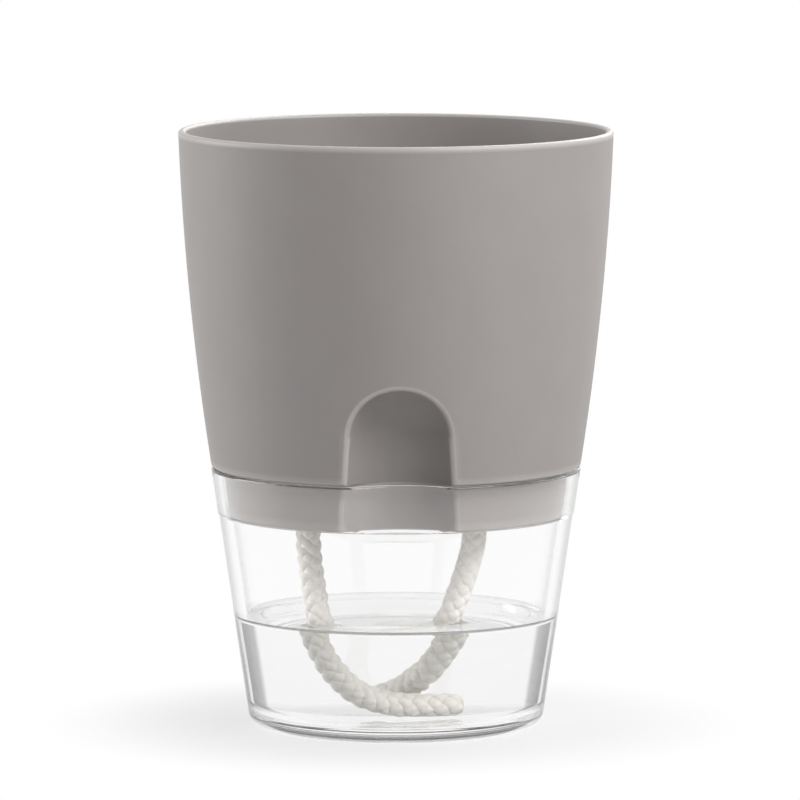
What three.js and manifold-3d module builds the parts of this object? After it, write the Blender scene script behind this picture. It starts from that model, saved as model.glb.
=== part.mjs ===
// Self-watering pot: a grey pot whose collar nests in a clear reservoir, and a cotton rope wick
// that draws water up through the pot's floor.
// Millimetres, +Z up, front towards -Y, origin at the centre of the surface that it stands on.

import * as THREE from "three";
import { mergeVertices } from "three/addons/utils/BufferGeometryUtils.js";
import Module from "manifold-3d";

// Reservoir
const reservoirHeight = 77.3;
const reservoirBaseRadius = 43.6; // where the slanting side would meet the table
const reservoirMouthRadius = 54.9;
const reservoirWall = 3.8; // measured level, below the ledge
const reservoirFloor = 3;
const reservoirBaseRound = 4.5;
const reservoirInnerRound = 5;
const socketWall = 2.4; // measured level, round the collar
const socketStep = 0.3; // the socket stands proud of the side below it
const socketRimRound = 0.7;
const kickUp = 1; // the underside is raised inside its foot ring
const footRingWidth = 3.5;
const gateMarkRadius = 3;
const gateMarkHeight = 0.5;

// Pot
const shellHeight = 100.4;
const potTopRadius = 64.7;
const shellBow = 1.5; // how far the side swells past a straight slant
const potWall = 2.2;
const potRimRound = 1;
const shoulderRound = 0.9;
const innerShoulderRound = 1.5;
const collarHeight = 13.8;
const collarRound = 0.6;
const potFloor = 2.4;
const potFloorRound = 2;

// Fits between pot and reservoir
const seatGap = 0.3; // shoulder to reservoir rim
const ledgeGap = 0.3; // collar to ledge
const collarClearance = 1.2; // collar to socket, all round
const shoulderSetIn = 0.2; // the pot's side stands this far inside the reservoir's rim
const pourSlot = 4.8; // scoop to the dented socket wall, where water goes in

// Scoop in the front of the pot, and the dent in the socket under it
const scoopSpringHeight = 13.8; // where its sides turn into its dome, above the seat
const scoopSpringRadius = 14.9;
const scoopFootRadius = 16.4;
const notchTopRadius = 19; // the scoop's run down through the collar
const notchFootRadius = 26.5;
const notchSetBack = 0.2; // behind the scoop
const dentRadius = 22.5;
const dentDepth = 6.7; // behind the reservoir's mouth
const dentShelf = 2.4; // thickness of the half-moon floor under the dent

// Wick and the holes in the pot's floor
const wickDiameter = 7.5;
const wickStepLength = 7;
const wickHoleDiameter = 12;
const wickHoleSpacing = 49;
const wickHoleForward = 16;
const drainHoleDiameter = 4;
const drainCircleRadius = 33;
const drainHoleCount = 7;
const drainArcDegrees = 200; // open towards the front

// Facets
const turnedSides = 48;
const toolSides = 32;
const holeSides = 12;
const wickSides = 10;
const curveSteps = 7;
const roundSteps = 2;
const overcut = 5; // how far a cutting shape runs past what it cuts

// Levels
const seatZ = reservoirHeight + seatGap;
const topZ = seatZ + shellHeight;
const potFloorZ = seatZ - collarHeight;
const potFloorTopZ = potFloorZ + potFloor;
const ledgeZ = potFloorZ - ledgeGap;
const reservoirFloorTopZ = kickUp + reservoirFloor;
const scoopSpringZ = seatZ + scoopSpringHeight;

// Radii that follow from the fits, and distances in front of the axis
const potShoulderRadius = reservoirMouthRadius + socketStep - shoulderSetIn;
const dentBack = reservoirMouthRadius - dentDepth;
const scoopBack = dentBack - socketWall - pourSlot;
const notchBack = scoopBack - notchSetBack;
const scoopAxisY = -scoopBack - scoopFootRadius;
const dentAxisY = -dentBack - dentRadius;

// Wick routes, from the holes down to the cut ends and over the pot's floor from hole to hole
const frontTailRoute = [
  [-26, -16, 63.8],
  [-26, -16.4, 58],
  [-25.3, -17.4, 50],
  [-24.2, -18.6, 42],
  [-22.5, -19.4, 34],
  [-19.4, -19, 26],
  [-15, -16.6, 19],
  [-8.4, -12.4, 12.8],
  [-1, -8.2, 10.1],
  [6.8, -4.6, 9.3],
  [14.6, -1.4, 8.9],
];
const backTailRoute = [
  [22.7, -16, 63.8],
  [22.5, -15.9, 57],
  [20.9, -15.2, 50],
  [18.4, -14.4, 42],
  [15.3, -13.2, 34.2],
  [11.9, -11, 27.4],
  [8.4, -7.4, 21.6],
  [5, -2.4, 17.4],
  [1.6, 2.6, 14],
  [-2, 6.6, 11.6],
  [-6, 9.6, 10.3],
];
const loopRoute = [
  [-26, -16, 64.1],
  [-26, -15.9, 67.6],
  [-26, -15.2, 71.8],
  [-25.8, -11.9, 77.6],
  [-25, -6.2, 81.4],
  [-23.4, 0.6, 82.2],
  [-21, 6.5, 80.1],
  [-17.6, 11.6, 76.2],
  [-13.3, 15.6, 72.4],
  [-7.7, 18.6, 70.7],
  [-1.6, 19.8, 70.4],
  [4.5, 18.6, 70.7],
  [10.1, 15.6, 72.4],
  [14.4, 11.6, 76.2],
  [17.8, 6.5, 80.1],
  [20.2, 0.6, 82.2],
  [21.8, -6.2, 81.4],
  [22.5, -11.9, 77.6],
  [22.7, -15.2, 71.8],
  [22.7, -15.9, 67.6],
  [22.7, -16, 64.1],
];

const wasm = await Module();
wasm.setup();

const potPlastic = new THREE.MeshStandardMaterial({ color: 0x9b9793, roughness: 0.62, metalness: 0 });
const clearPlastic = new THREE.MeshStandardMaterial({
  color: 0xf2f5f4,
  roughness: 0.06,
  metalness: 0,
  transparent: true,
  opacity: 0.3,
});
const cottonRope = new THREE.MeshStandardMaterial({ color: 0xe8e3d8, roughness: 0.95, metalness: 0 });

function solidOf(geometry) {
  const bare = geometry.clone();
  bare.deleteAttribute("normal");
  bare.deleteAttribute("uv");
  const merged = mergeVertices(bare);
  return new wasm.Manifold(
    new wasm.Mesh({
      numProp: 3,
      vertProperties: new Float32Array(merged.attributes.position.array),
      triVerts: new Uint32Array(merged.index.array),
    }),
  );
}

function geometryOf(solid) {
  const mesh = solid.getMesh();
  const geometry = new THREE.BufferGeometry();
  geometry.setAttribute("position", new THREE.BufferAttribute(mesh.vertProperties, mesh.numProp));
  geometry.setIndex(new THREE.BufferAttribute(mesh.triVerts, 1));
  geometry.computeVertexNormals();
  return geometry;
}

// An outline through [radius, height, round] corners, with an arc at each corner that has a round
function roundedOutline(corners) {
  const outline = [];
  corners.forEach(([x, y, round = 0], i) => {
    const corner = new THREE.Vector2(x, y);
    if (!round) {
      outline.push(corner);
      return;
    }
    const before = new THREE.Vector2(...corners[i - 1]).sub(corner).normalize();
    const after = new THREE.Vector2(...corners[i + 1]).sub(corner).normalize();
    const halfAngle = Math.acos(before.dot(after)) / 2;
    const bisector = before.clone().add(after).normalize();
    const centre = corner.clone().addScaledVector(bisector, round / Math.sin(halfAngle));
    const start = corner.clone().addScaledVector(before, round / Math.tan(halfAngle)).sub(centre);
    const turn = Math.sign(before.cross(after)) * (Math.PI - 2 * halfAngle);
    for (let step = 0; step <= roundSteps; step += 1) {
      const spoke = start.clone().rotateAround(new THREE.Vector2(), (-turn * step) / roundSteps);
      outline.push(spoke.add(centre));
    }
  });
  return outline;
}

// A closed outline turned about the Z axis
function turned(outline, sides) {
  return new THREE.LatheGeometry(outline, sides).rotateX(Math.PI / 2);
}

// An upright round bar between two heights
function uprightBar(radius, x, y, fromZ, toZ, sides) {
  const geometry = new THREE.CylinderGeometry(radius, radius, toZ - fromZ, sides);
  return solidOf(geometry.rotateX(Math.PI / 2).translate(x, y, (fromZ + toZ) / 2));
}

// Outer radius of the reservoir's slanting side
function reservoirRadius(z) {
  return THREE.MathUtils.lerp(reservoirBaseRadius, reservoirMouthRadius, z / reservoirHeight);
}

function socketInnerRadius(z) {
  return reservoirRadius(z) + socketStep - socketWall;
}

function collarRadius(z) {
  return socketInnerRadius(z) - collarClearance;
}

// Outer radius of the pot's swelling side
function shellRadius(z) {
  const share = (z - seatZ) / shellHeight;
  const straight = THREE.MathUtils.lerp(potShoulderRadius, potTopRadius, share);
  return straight + shellBow * 4 * share * (1 - share);
}

// Points up the pot's side, set in by a wall
function shellSide(fromZ, toZ, inset) {
  const points = [];
  for (let step = 0; step <= curveSteps; step += 1) {
    const z = THREE.MathUtils.lerp(fromZ, toZ, step / curveSteps);
    points.push([shellRadius(z) - inset, z]);
  }
  return points;
}

// The scoop: a cone with a domed top. Growth gives the outside of the wall behind it.
function scoopTool(growth) {
  const springRadius = scoopSpringRadius + growth;
  const outline = [new THREE.Vector2(0, seatZ), new THREE.Vector2(scoopFootRadius + growth, seatZ)];
  for (let step = 0; step <= curveSteps; step += 1) {
    const angle = ((Math.PI / 2) * step) / curveSteps;
    const radius = step < curveSteps ? springRadius * Math.cos(angle) : 0;
    outline.push(new THREE.Vector2(radius, scoopSpringZ + springRadius * Math.sin(angle)));
  }
  return solidOf(turned(outline, toolSides).translate(0, scoopAxisY, 0));
}

// The scoop's run down through the collar: a cone, wider below, whose back line is upright
function notchTool(growth, fromZ, toZ) {
  const widening = (notchFootRadius - notchTopRadius) / collarHeight;
  const topRadius = notchTopRadius + growth + widening * (seatZ - toZ);
  const footRadius = notchTopRadius + growth + widening * (seatZ - fromZ);
  const middleY = growth - notchBack - (topRadius + footRadius) / 2;
  const geometry = new THREE.CylinderGeometry(topRadius, footRadius, toZ - fromZ, toolSides);
  const lean = new THREE.Matrix4().makeShear(0, 0, 0, 0, 0, widening);
  geometry.rotateX(Math.PI / 2).applyMatrix4(lean);
  return solidOf(geometry.translate(0, middleY, (fromZ + toZ) / 2));
}

function floorHole(diameter, x, y) {
  return uprightBar(diameter / 2, x, y, potFloorZ - overcut, potFloorTopZ + overcut, holeSides);
}

function makePot() {
  const rimRound = Math.min(potRimRound, potWall / 2);
  const sideFootZ = seatZ + 2 * shoulderRound;
  const sideTopZ = topZ - 2 * rimRound;
  const innerStepZ = seatZ + potWall;
  const outside = [
    [0, potFloorZ],
    [collarRadius(potFloorZ), potFloorZ, collarRound],
    [collarRadius(seatZ), seatZ],
    [shellRadius(seatZ), seatZ, shoulderRound],
    ...shellSide(sideFootZ, sideTopZ, 0),
  ];
  const inside = [
    ...shellSide(sideTopZ, innerStepZ + 2 * innerShoulderRound, potWall),
    [shellRadius(innerStepZ) - potWall, innerStepZ, innerShoulderRound],
    [collarRadius(seatZ) - potWall, innerStepZ, innerShoulderRound],
    [collarRadius(potFloorTopZ) - potWall, potFloorTopZ, potFloorRound],
    [0, potFloorTopZ],
  ];
  const rim = [
    [shellRadius(topZ), topZ, rimRound],
    [shellRadius(topZ) - potWall, topZ, rimRound],
  ];
  const cup = solidOf(turned(roundedOutline([...outside, ...rim, ...inside]), turnedSides));
  const envelope = solidOf(turned(roundedOutline([...outside, [0, sideTopZ]]), turnedSides));
  const scoopSkin = scoopTool(potWall).add(notchTool(potWall, potFloorZ, innerStepZ));
  const scoop = scoopTool(0).add(notchTool(0, potFloorZ - overcut, seatZ));
  let pot = cup.add(scoopSkin.intersect(envelope)).subtract(scoop);
  for (const side of [-1, 1]) {
    pot = pot.subtract(floorHole(wickHoleDiameter, (side * wickHoleSpacing) / 2, -wickHoleForward));
  }
  for (let i = 0; i < drainHoleCount; i += 1) {
    const fromBack = drainArcDegrees * (i / (drainHoleCount - 1) - 0.5);
    const place = new THREE.Vector2(0, drainCircleRadius);
    place.rotateAround(new THREE.Vector2(), THREE.MathUtils.degToRad(fromBack));
    pot = pot.subtract(floorHole(drainHoleDiameter, place.x, place.y));
  }
  return pot;
}

function makeReservoir() {
  const rimRound = Math.min(socketRimRound, socketWall / 2);
  const footInnerRadius = reservoirBaseRadius - reservoirBaseRound - footRingWidth;
  const outside = [
    [0, kickUp - gateMarkHeight],
    [gateMarkRadius, kickUp - gateMarkHeight],
    [gateMarkRadius, kickUp],
    [footInnerRadius - kickUp, kickUp],
    [footInnerRadius, 0],
    [reservoirBaseRadius, 0, reservoirBaseRound],
    [reservoirRadius(ledgeZ), ledgeZ],
    [reservoirRadius(ledgeZ) + socketStep, ledgeZ + socketStep],
    [reservoirRadius(reservoirHeight) + socketStep, reservoirHeight, rimRound],
  ];
  const inside = [
    [socketInnerRadius(reservoirHeight), reservoirHeight, rimRound],
    [socketInnerRadius(ledgeZ), ledgeZ],
    [reservoirRadius(ledgeZ) - reservoirWall, ledgeZ],
    [reservoirRadius(reservoirFloorTopZ) - reservoirWall, reservoirFloorTopZ, reservoirInnerRound],
    [0, reservoirFloorTopZ],
  ];
  const cup = solidOf(turned(roundedOutline([...outside, ...inside]), turnedSides));
  const envelope = solidOf(turned(roundedOutline([...outside, [0, reservoirHeight]]), turnedSides));
  const shelfFootZ = ledgeZ - dentShelf;
  const skin = uprightBar(dentRadius + socketWall, 0, dentAxisY, shelfFootZ, reservoirHeight, toolSides);
  const dent = uprightBar(dentRadius, 0, dentAxisY, ledgeZ, reservoirHeight + overcut, toolSides);
  return cup.add(skin.intersect(envelope)).subtract(dent);
}

// A stretch of the wick: a round section carried along its route
function wickStretch(route) {
  const path = new THREE.CatmullRomCurve3(route.map((point) => new THREE.Vector3(...point)));
  const section = new THREE.Shape();
  section.absarc(0, 0, wickDiameter / 2, 0, Math.PI * 2);
  const corners = section.getSpacedPoints(wickSides).slice(0, wickSides);
  return new THREE.ExtrudeGeometry(new THREE.Shape(corners), {
    steps: Math.round(path.getLength() / wickStepLength),
    bevelEnabled: false,
    extrudePath: path,
  });
}

const selfWateringPot = new THREE.Group();

function addPiece(name, geometry, material) {
  const mesh = new THREE.Mesh(geometry, material);
  mesh.name = name;
  selfWateringPot.add(mesh);
}

addPiece("reservoir", geometryOf(makeReservoir()), clearPlastic);
addPiece("pot", geometryOf(makePot()), potPlastic);
addPiece("wick_loop", wickStretch(loopRoute), cottonRope);
addPiece("wick_front_tail", wickStretch(frontTailRoute), cottonRope);
addPiece("wick_back_tail", wickStretch(backTailRoute), cottonRope);

export default selfWateringPot;
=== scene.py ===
import math

import bmesh
import bpy
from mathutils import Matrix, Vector


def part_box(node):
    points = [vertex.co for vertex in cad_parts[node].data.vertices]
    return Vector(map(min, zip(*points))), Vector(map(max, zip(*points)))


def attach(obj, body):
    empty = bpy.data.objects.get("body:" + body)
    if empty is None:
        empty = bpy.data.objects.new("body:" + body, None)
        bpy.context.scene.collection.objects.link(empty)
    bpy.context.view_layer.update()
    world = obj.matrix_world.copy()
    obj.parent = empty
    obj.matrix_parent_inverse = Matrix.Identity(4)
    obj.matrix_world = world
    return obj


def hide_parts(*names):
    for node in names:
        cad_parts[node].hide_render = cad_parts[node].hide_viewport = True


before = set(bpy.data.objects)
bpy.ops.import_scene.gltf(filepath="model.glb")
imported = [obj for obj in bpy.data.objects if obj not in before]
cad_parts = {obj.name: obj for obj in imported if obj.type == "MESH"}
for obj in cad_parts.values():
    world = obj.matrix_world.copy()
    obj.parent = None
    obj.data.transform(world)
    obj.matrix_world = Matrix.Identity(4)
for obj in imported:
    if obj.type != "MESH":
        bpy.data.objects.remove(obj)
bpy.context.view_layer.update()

mm = 0.001               # sizes below are in millimetres, Blender's are in metres
slop = 0.01              # millimetres within which two places count as one
scene = bpy.context.scene
scene.view_settings.view_transform = "Standard"

# Light has to pass many walls of clear plastic and water before it stops
scene.cycles.max_bounces = 64
scene.cycles.transmission_bounces = 48
scene.cycles.glossy_bounces = 48

# Levels that the frame gives
seatGap = 0.3            # that the CAD leaves under the pot's shoulder and under its collar
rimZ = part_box("reservoir")[1].z / mm
seatZ = rimZ + seatGap
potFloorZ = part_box("pot")[0].z / mm
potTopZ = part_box("pot")[1].z / mm
ledgeZ = potFloorZ - seatGap


def linearColour(hexColour):
    parts = [int(hexColour[i:i + 2], 16) / 255 for i in (1, 3, 5)]
    return [c / 12.92 if c <= 0.04045 else ((c + 0.055) / 1.055) ** 2.4 for c in parts] + [1]


# Adds a node, sets its options, and links or sets the inputs that are named. A node that is given as an
# input links by its first output. A ramp takes its greys as (place, brightness) stops.
def addNode(tree, kind, inputs=None, greys=(), **options):
    node = tree.nodes.new(kind)
    for name, value in options.items():
        setattr(node, name, value)
    for _ in greys[2:]:
        node.color_ramp.elements.new(0.5)
    for i, (place, level) in enumerate(greys):
        stop = node.color_ramp.elements[i]
        stop.position = place
        stop.color = (level, level, level, 1)
    for name, value in (inputs or {}).items():
        if isinstance(value, bpy.types.Node):
            value = value.outputs[0]
        if isinstance(value, bpy.types.NodeSocket):
            tree.links.new(value, node.inputs[name])
        else:
            node.inputs[name].default_value = value
    return node


def newMaterial(name):
    material = bpy.data.materials.new(name)
    material.use_nodes = True
    material.node_tree.nodes.clear()
    return material, material.node_tree


def addObject(name, data):
    item = bpy.data.objects.new(name, data)
    scene.collection.objects.link(item)
    return item


# What a piece's modifiers make of it, as a plain mesh
def plainMesh(piece):
    depsgraph = bpy.context.evaluated_depsgraph_get()
    return bpy.data.meshes.new_from_object(piece.evaluated_get(depsgraph), depsgraph=depsgraph)


def between(a, b, share):
    return a + (b - a) * share


def steps(count):
    return [i / count for i in range(count + 1)]


# Camera: a long lens a little above the pot, level with the photograph's view
view = {
    "place": (-48, -2500, 378),
    "aim": (1.2, 0, 97.2),
    "lens": 379.8,
    "sensor": 36,
    "reach": 20000,
}


def makeCamera():
    camera = addObject("camera", bpy.data.cameras.new("camera"))
    camera.data.lens = view["lens"]
    camera.data.sensor_width = view["sensor"]
    camera.data.clip_end = view["reach"] * mm
    camera.location = Vector(view["place"]) * mm
    sight = (Vector(view["aim"]) - Vector(view["place"])).normalized()
    camera.rotation_euler = sight.to_track_quat("-Z", "Y").to_euler()
    scene.camera = camera
    print("camera set")


# Polypropylene, moulded against a finely eroded tool: a soft even sheen, and a grain that only
# shows as a faint mottle. The real grit is about 0.1 mm; it is drawn coarser so that it shows.
# The rounded edges get a painted highlight, a paler colour, and a smoother gloss, where an attribute marks
# them.
def mouldedPolypropylene():
    look = {
        "colour": "#948F8C",
        "mottle": "#8E8988",
        "paintedEdgeHighlight": "#ABA6A3",
        "edgeRoughness": 0.42,
        "grit": (0.45, 3, 0.6),     # size, detail and roughness of a noise
        "cloud": (14, 4, 0.55),
        "roughness": (0.5, 0.62),
        "bump": 0.06,
        "bumpStrength": 0.5,
        "ior": 1.49,
    }
    material, tree = newMaterial("mouldedPolypropylene")
    where = addNode(tree, "ShaderNodeTexCoord").outputs["Object"]
    grit, cloud = [addNode(tree, "ShaderNodeTexNoise", {
        "Vector": where, "Scale": 1 / (size * mm), "Detail": detail, "Roughness": rough})
        for size, detail, rough in (look["grit"], look["cloud"])]
    tint = addNode(tree, "ShaderNodeMix", {
        "Factor": cloud.outputs["Fac"], 6: linearColour(look["colour"]), 7: linearColour(look["mottle"])},
        data_type="RGBA")
    # Painted highlight on the rounded edges: a paler colour there, and a smoother gloss
    edgeLight = addNode(tree, "ShaderNodeAttribute", {}, attribute_name="paintedEdgeLight").outputs["Fac"]
    withEdgeHighlight = addNode(tree, "ShaderNodeMix", {
        "Factor": edgeLight, 6: tint.outputs[2], 7: linearColour(look["paintedEdgeHighlight"])}, data_type="RGBA")
    gloss = addNode(tree, "ShaderNodeMapRange", {
        "Value": grit.outputs["Fac"], 3: look["roughness"][0], 4: look["roughness"][1]})
    polish = addNode(tree, "ShaderNodeMix", {
        "Factor": edgeLight, 2: gloss, 3: look["edgeRoughness"]}, data_type="FLOAT")
    bump = addNode(tree, "ShaderNodeBump", {
        "Height": grit.outputs["Fac"], "Strength": look["bumpStrength"], "Distance": look["bump"] * mm})
    plastic = addNode(tree, "ShaderNodeBsdfPrincipled", {
        "Base Color": withEdgeHighlight.outputs[2], "Roughness": polish, "Normal": bump, "IOR": look["ior"]})
    addNode(tree, "ShaderNodeOutputMaterial", {"Surface": plastic})
    return material


# The painted shade of a clear body. Its upright sides are painted grey where they turn edge on, for the
# dark of a room that would show there, by (how far it is turned, brightness), and its foot is painted darker
# where it rounds under, by (how far it faces down, brightness). Light bounced inside it already is not
# shaded again.
def paintedEdgeShade(tree, paintedTurnShade, paintedFootShade=None):
    upright = (0.25, 0.5)    # how far a face leans where the tint of the sides fades out
    turned = addNode(tree, "ShaderNodeLayerWeight", {"Blend": 0.5}).outputs["Facing"]
    skin = addNode(tree, "ShaderNodeNewGeometry").outputs
    rise = addNode(tree, "ShaderNodeSeparateXYZ", {0: skin["True Normal"]}).outputs[2]
    lean = addNode(tree, "ShaderNodeMath", {0: rise}, operation="ABSOLUTE")
    flat = addNode(tree, "ShaderNodeMapRange", {"Value": lean, 1: upright[0], 2: upright[1]})
    sides = addNode(tree, "ShaderNodeValToRGB", {"Fac": turned}, paintedTurnShade)
    tint = addNode(tree, "ShaderNodeMix", {"Factor": flat, 6: sides, 7: (1, 1, 1, 1)}, data_type="RGBA")
    if paintedFootShade:
        down = addNode(tree, "ShaderNodeMath", {0: rise, 1: -1}, operation="MULTIPLY", use_clamp=True)
        foot = addNode(tree, "ShaderNodeValToRGB", {"Fac": down}, paintedFootShade)
        tint = addNode(tree, "ShaderNodeMix", {
            "Factor": 1, 6: tint.outputs[2], 7: foot}, data_type="RGBA", blend_type="MULTIPLY")
    bounced = addNode(tree, "ShaderNodeLightPath").outputs["Is Reflection Ray"]
    plain = addNode(tree, "ShaderNodeMath", {0: skin["Backfacing"], 1: bounced}, operation="MAXIMUM")
    clear = addNode(tree, "ShaderNodeMix", {
        "Factor": plain, 6: tint.outputs[2], 7: (1, 1, 1, 1)}, data_type="RGBA")
    return clear.outputs[2]


# Finishes a clear body: lamps shine straight through it, and so does light that is let out of it
def clearSurface(tree, body, shade, letOut=None):
    straight = addNode(tree, "ShaderNodeLightPath").outputs["Is Shadow Ray"]
    if letOut is not None:
        straight = addNode(tree, "ShaderNodeMath", {0: straight, 1: letOut}, operation="MAXIMUM")
    lampWay = addNode(tree, "ShaderNodeBsdfTransparent", {"Color": [shade] * 3 + [1]})
    surface = addNode(tree, "ShaderNodeMixShader", {0: straight, 1: body, 2: lampWay})
    addNode(tree, "ShaderNodeOutputMaterial", {"Surface": surface})


# Styrene acrylonitrile, moulded in a polished tool: clear as glass, with painted grey shade where it turns
# edge on. Lamps shine through it, as its thin wall takes little of their light. The attribute seam
# marks the edge that the pot sits on, which is painted dark as the shadow in the gap under the pot, and dent
# the walls of the dent: light that is caught between their corners leaves them after some bounces.
def clearStyrene():
    look = {
        "ior": 1.5,
        "shade": 0.96,
        "paintedGapShadow": "#595550",
        "dentBounces": 12,    # that light makes before it leaves the dent's walls
        "paintedTurnShade": ((0, 0.97), (0.6, 0.97), (0.7, 0.86), (0.8, 0.4), (0.88, 0.2)),
        "paintedFootShade": ((0, 1), (0.15, 1), (0.165, 0.2), (0.23, 0.2), (0.245, 0.92), (0.9, 0.92),
                       (0.95, 0.45), (0.988, 0.45), (0.995, 1)),
    }
    material, tree = newMaterial("clearStyrene")
    # Painted shadow of the gap under the pot, dark on the rim's edge
    paintedGapShadow = addNode(tree, "ShaderNodeAttribute", {}, attribute_name="paintedGapShadow").outputs["Fac"]
    tint = addNode(tree, "ShaderNodeMix", {
        "Factor": paintedGapShadow, 6: paintedEdgeShade(tree, look["paintedTurnShade"], look["paintedFootShade"]),
        7: linearColour(look["paintedGapShadow"])}, data_type="RGBA")
    plastic = addNode(tree, "ShaderNodeBsdfPrincipled", {
        "Base Color": tint.outputs[2], "Roughness": 0, "IOR": look["ior"], "Transmission Weight": 1})
    dent = addNode(tree, "ShaderNodeAttribute", {}, attribute_name="dent").outputs["Fac"]
    depth = addNode(tree, "ShaderNodeLightPath").outputs["Ray Depth"]
    caught = addNode(tree, "ShaderNodeMath", {0: depth, 1: look["dentBounces"]}, operation="GREATER_THAN")
    freed = addNode(tree, "ShaderNodeMath", {0: dent, 1: caught}, operation="MULTIPLY")
    clearSurface(tree, plastic, look["shade"], freed)
    return material


# Tap water, at rest: a mirror-flat top, and a lens where the round wall holds it. Its sides get painted edge
# shade.
# The attribute lip is 1 on the edge that creeps up the wall, which bends light away and is painted dark as
# shade,
# and less around it: up to lipStart it only clears the painted edge shade.
def stillWater(lipStart):
    look = {
        "ior": 1.333,
        "shade": 0.985,
        # Painted shade: the dark line of the lip
        "lip": "#7C7C7E",
        "paintedTurnShade": ((0, 0.9), (0.222, 0.88), (0.236, 0.26), (0.278, 0.05), (0.282, 0.95), (0.29, 0.95),
                      (0.294, 0.05), (1, 0.05)),
    }
    material, tree = newMaterial("stillWater")
    lip = addNode(tree, "ShaderNodeAttribute", {}, attribute_name="lip").outputs["Fac"]
    back = addNode(tree, "ShaderNodeNewGeometry").outputs["Backfacing"]
    front = addNode(tree, "ShaderNodeMath", {0: 1, 1: back}, operation="SUBTRACT")
    edge = addNode(tree, "ShaderNodeMapRange", {"Value": lip, 1: 0, 2: lipStart, 4: front})
    dark = addNode(tree, "ShaderNodeMapRange", {"Value": lip, 1: lipStart, 2: 1})
    line = addNode(tree, "ShaderNodeMix", {
        "Factor": dark, 6: (1, 1, 1, 1), 7: linearColour(look["lip"])}, data_type="RGBA")
    tint = addNode(tree, "ShaderNodeMix", {
        "Factor": edge, 6: paintedEdgeShade(tree, look["paintedTurnShade"]), 7: line.outputs[2]}, data_type="RGBA")
    water = addNode(tree, "ShaderNodeBsdfPrincipled", {
        "Base Color": tint.outputs[2], "Roughness": 0, "IOR": look["ior"], "Transmission Weight": 1})
    clearSurface(tree, water, look["shade"])
    return material


# Cotton, spun, plied and braided undyed: matt, cream white, with yarns that run slantwise along
# each strand, and painted shade that darkens the hollows deep in the braid. The attribute strandUv holds the
# way round a strand, the way along it and its distance from the rope's middle, both in metres.
def undyedCotton():
    look = {
        "colour": "#F8F5F1",
        "paintedHollowShade": "#E0DCD5",
        "paintedShadeReach": (1.5, 3.4),   # from the rope's middle, where the painted shade of the hollows fades out
        "wet": "#DFDFDD",            # times the colour, where water has soaked in
        "soaked": (31, 37),          # heights between which it turns wet
        "yarns": 4,                  # round one strand
        "yarnHeight": 0.35,          # beside the height of the fibres
        "slant": 2.6,
        "fibre": (0.22, 3, 0.65),    # size, detail and roughness of a noise
        "fleck": (3, 2, 0.5),
        "fleckShade": 0.35,
        "bump": 0.1,
        "bumpStrength": 0.6,
        "roughness": 0.95,
        "gloss": 0.2,
        "sheen": 0.25,
    }
    material, tree = newMaterial("undyedCotton")
    along = addNode(tree, "ShaderNodeAttribute", {}, attribute_name="strandUv")
    split = addNode(tree, "ShaderNodeSeparateXYZ", {0: along.outputs["Vector"]})
    turns = addNode(tree, "ShaderNodeMath", {
        0: split.outputs[1], 1: 1 / (look["slant"] * mm)}, operation="MULTIPLY")
    phase = addNode(tree, "ShaderNodeMath", {
        0: split.outputs[0], 1: look["yarns"], 2: turns}, operation="MULTIPLY_ADD")
    angle = addNode(tree, "ShaderNodeMath", {0: phase, 1: 2 * math.pi}, operation="MULTIPLY")
    wave = addNode(tree, "ShaderNodeMath", {0: angle}, operation="SINE")
    where = addNode(tree, "ShaderNodeTexCoord").outputs["Object"]
    fibre, fleck = [addNode(tree, "ShaderNodeTexNoise", {
        "Vector": where, "Scale": 1 / (size * mm), "Detail": detail, "Roughness": rough})
        for size, detail, rough in (look["fibre"], look["fleck"])]
    height = addNode(tree, "ShaderNodeMath", {
        0: wave, 1: look["yarnHeight"], 2: fibre.outputs["Fac"]}, operation="MULTIPLY_ADD")
    paintedShadeReach = [reach * mm for reach in look["paintedShadeReach"]]
    # Painted shade: nearer the rope's middle, in the hollows, the colour turns darker
    depth = addNode(tree, "ShaderNodeMapRange", {
        "Value": split.outputs[2], 1: paintedShadeReach[0], 2: paintedShadeReach[1], 3: 1, 4: 0})
    shade = addNode(tree, "ShaderNodeMath", {
        0: fleck.outputs["Fac"], 1: look["fleckShade"], 2: depth}, operation="MULTIPLY_ADD", use_clamp=True)
    tint = addNode(tree, "ShaderNodeMix", {
        "Factor": shade, 6: linearColour(look["colour"]), 7: linearColour(look["paintedHollowShade"])}, data_type="RGBA")
    up = addNode(tree, "ShaderNodeSeparateXYZ", {0: where}).outputs[2]
    damp = addNode(tree, "ShaderNodeMapRange", {
        "Value": up, 1: look["soaked"][0] * mm, 2: look["soaked"][1] * mm, 3: 1, 4: 0},
        interpolation_type="SMOOTHSTEP")
    soaked = addNode(tree, "ShaderNodeMix", {
        "Factor": damp, 6: tint.outputs[2], 7: linearColour(look["wet"])},
        data_type="RGBA", blend_type="MULTIPLY")
    bump = addNode(tree, "ShaderNodeBump", {
        "Height": height, "Strength": look["bumpStrength"], "Distance": look["bump"] * mm})
    cotton = addNode(tree, "ShaderNodeBsdfPrincipled", {
        "Base Color": soaked.outputs[2], "Roughness": look["roughness"], "Normal": bump,
        "Specular IOR Level": look["gloss"], "Sheen Weight": look["sheen"], "Sheen Roughness": 0.5})
    addNode(tree, "ShaderNodeOutputMaterial", {"Surface": cotton})
    return material


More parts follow.
